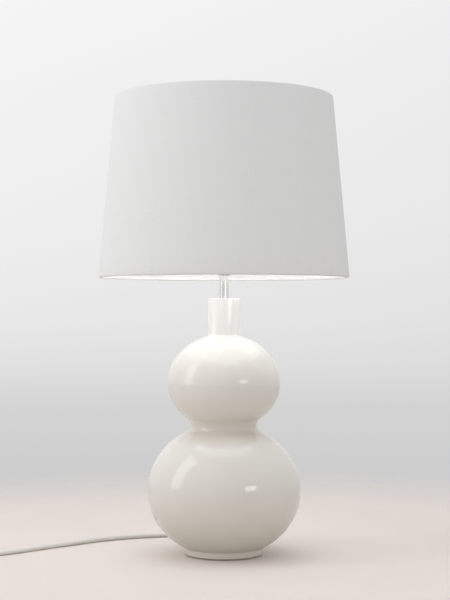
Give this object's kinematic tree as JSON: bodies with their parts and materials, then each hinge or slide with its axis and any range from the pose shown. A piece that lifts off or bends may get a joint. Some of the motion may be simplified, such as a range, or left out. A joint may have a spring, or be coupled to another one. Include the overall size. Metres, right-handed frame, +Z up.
{
  "type": "table lamp",
  "caption": "Table lamp: tapered drum shade on a harp over a hollow glazed double-gourd body, with neck tube, screw socket, rotary switch, globe bulb and a flexible lead wound in a tied coil.",
  "frame": {"origin": "middle of the underside of the felt pad, on the lamp's axis", "axes": "+Z up along the lamp's axis; -Y is the front, where the switch knob is; the lead leaves at +Y"},
  "size_m": [0.6187, 0.3556, 0.6491],
  "materials": {
    "glaze": "gloss off-white glaze on stoneware",
    "felt": "pressed felt",
    "zinc_steel": "zinc plated",
    "gasket_rubber": "matt",
    "polished_nickel": "polished",
    "brushed_nickel": "satin nickel",
    "liner_card": "fibre card",
    "black_phenolic": "moulded, satin",
    "contact_brass": "plain",
    "conductor_pvc": "insulated wire",
    "bulb_cap_metal": "rolled, plated",
    "black_glass": "gloss",
    "bulb_plastic": "satin",
    "lit_diffuser": "opal, lit",
    "led_board": "white solder mask",
    "led_phosphor": "clear",
    "driver_board": "solder mask",
    "shade_fabric": "plain weave",
    "shade_styrene": "satin",
    "white_wire": "powder coat",
    "cord_pvc": "satin",
    "tie_plastic": "satin",
    "plug_pvc": "satin"
  },
  "bodies": {
    "base": {"ceramic_body": "glaze", "felt_pad": "felt", "lamp_nipple": "zinc_steel", "neck_gasket": "gasket_rubber", "neck_washer": "zinc_steel", "neck_lock_washer": "zinc_steel", "neck_nut": "zinc_steel", "neck_tube": "polished_nickel", "check_ring": "polished_nickel", "harp_saddle": "brushed_nickel", "socket_cap": "brushed_nickel", "socket_set_screw": "zinc_steel", "socket_shell": "brushed_nickel", "socket_liner": "liner_card", "socket_core": "black_phenolic", "terminal_screws": "contact_brass", "socket_screw_shell": "contact_brass", "centre_contact": "contact_brass", "conductor_line": "conductor_pvc", "conductor_neutral": "conductor_pvc", "switch_bushing": "contact_brass", "cord_gland": "cord_pvc", "cord_gland_nut": "cord_pvc", "inner_cord": "cord_pvc", "cord_lead": "cord_pvc", "cord_coil": "cord_pvc", "cord_tie": "tie_plastic", "cord_tail": "cord_pvc", "plug_body": "plug_pvc", "plug_blades": "contact_brass"},
    "harp": {"harp_bow": "brushed_nickel", "harp_stud": "brushed_nickel"},
    "sleeve_right": {"harp_sleeve_right": "brushed_nickel"},
    "sleeve_left": {"harp_sleeve_left": "brushed_nickel"},
    "shade": {"shade_cover": "shade_fabric", "shade_liner": "shade_styrene", "shade_seam": "shade_fabric", "shade_bottom_ring": "white_wire", "shade_top_ring": "white_wire", "shade_spider": "white_wire"},
    "finial_thread": {"finial_bush": "contact_brass"},
    "finial": {"finial_knob": "polished_nickel"},
    "bulb_tip": {"bulb_contact_tip": "bulb_cap_metal", "bulb_insulator": "black_glass"},
    "bulb": {"bulb_screw_cap": "bulb_cap_metal", "bulb_housing": "bulb_plastic", "bulb_globe": "lit_diffuser", "bulb_led_board": "led_board", "bulb_led_chips": "led_phosphor", "bulb_driver_board": "driver_board"},
    "switch": {"switch_rotor": "black_phenolic", "switch_knob": "black_phenolic"}
  },
  "joints": [
    {"name": "harp_lift", "type": "slide", "parent": "base", "child": "harp", "axis": [0, 0, 1], "range_m": [0, 0.045]},
    {"name": "sleeve_right_lift", "type": "slide", "parent": "harp", "child": "sleeve_right", "axis": [0, 0, 1], "range_m": [0, 0.016]},
    {"name": "sleeve_left_lift", "type": "slide", "parent": "harp", "child": "sleeve_left", "axis": [0, 0, 1], "range_m": [0, 0.016]},
    {"name": "shade_turn", "type": "hinge", "parent": "harp", "child": "shade", "pos_m": [0, 0, 0.624], "axis": [0, 0, 1], "continuous": true},
    {"name": "finial_climb", "type": "slide", "parent": "harp", "child": "finial_thread", "axis": [0, 0, 1], "range_m": [0, 0.0128]},
    {"name": "finial_turn", "type": "hinge", "parent": "finial_thread", "child": "finial", "pos_m": [0, 0, 0.624], "axis": [0, 0, 1], "range_deg": [0, 4860]},
    {"name": "bulb_climb", "type": "slide", "parent": "base", "child": "bulb_tip", "axis": [0, 0, 1], "range_m": [0, 0.0218]},
    {"name": "bulb_turn", "type": "hinge", "parent": "bulb_tip", "child": "bulb", "pos_m": [0, 0, 0.4421], "axis": [0, 0, 1], "range_deg": [0, 2160]},
    {"name": "switch_turn", "type": "hinge", "parent": "base", "child": "switch", "pos_m": [0, 0, 0.428], "axis": [0, -1, 0], "continuous": true}
  ],
  "couplings": [
    {"joint": "finial_climb", "follows": "finial_turn", "m_per_rad": 0.00014972},
    {"joint": "bulb_climb", "follows": "bulb_turn", "m_per_rad": 0.00057757}
  ]
}
